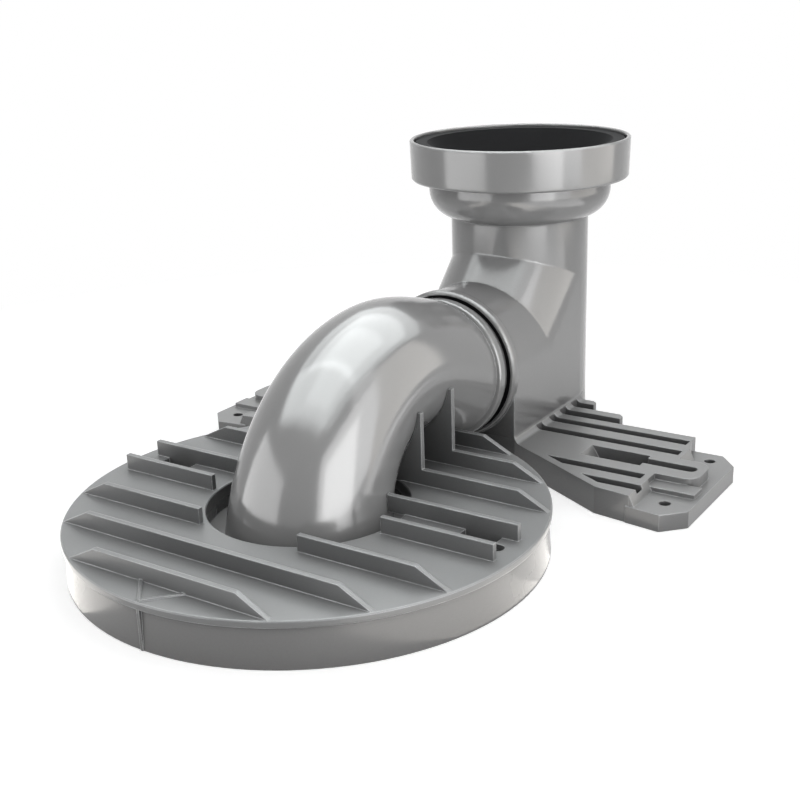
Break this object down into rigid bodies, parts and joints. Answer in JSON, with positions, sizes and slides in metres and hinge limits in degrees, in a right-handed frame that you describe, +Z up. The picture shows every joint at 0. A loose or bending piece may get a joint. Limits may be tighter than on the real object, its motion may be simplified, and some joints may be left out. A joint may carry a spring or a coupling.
{
  "type": "toilet rough-in adapter",
  "caption": "Toilet rough-in adapter: a swept drain elbow held by a ribbed floor flange, joined to an upright bowl outlet on a corrugated screw-down foot.",
  "frame": {"origin": "centre of the drain at floor level, where the floor gasket's bore meets the floor", "axes": "+X from the drain towards the upright bowl outlet, +Z up, the object is laid out evenly about Y = 0"},
  "size_m": [0.4411, 0.338, 0.1893],
  "materials": {
    "satin_plastic": "satin",
    "glossy_plastic": "gloss",
    "black_rubber": "matte"
  },
  "bodies": {
    "root": {"floor_flange": "satin_plastic", "drain_elbow": "glossy_plastic", "outlet_body": "glossy_plastic", "bowl_outlet_seal": "black_rubber", "pipe_joint_seal": "black_rubber", "floor_gasket": "black_rubber"}
  },
  "joints": []
}
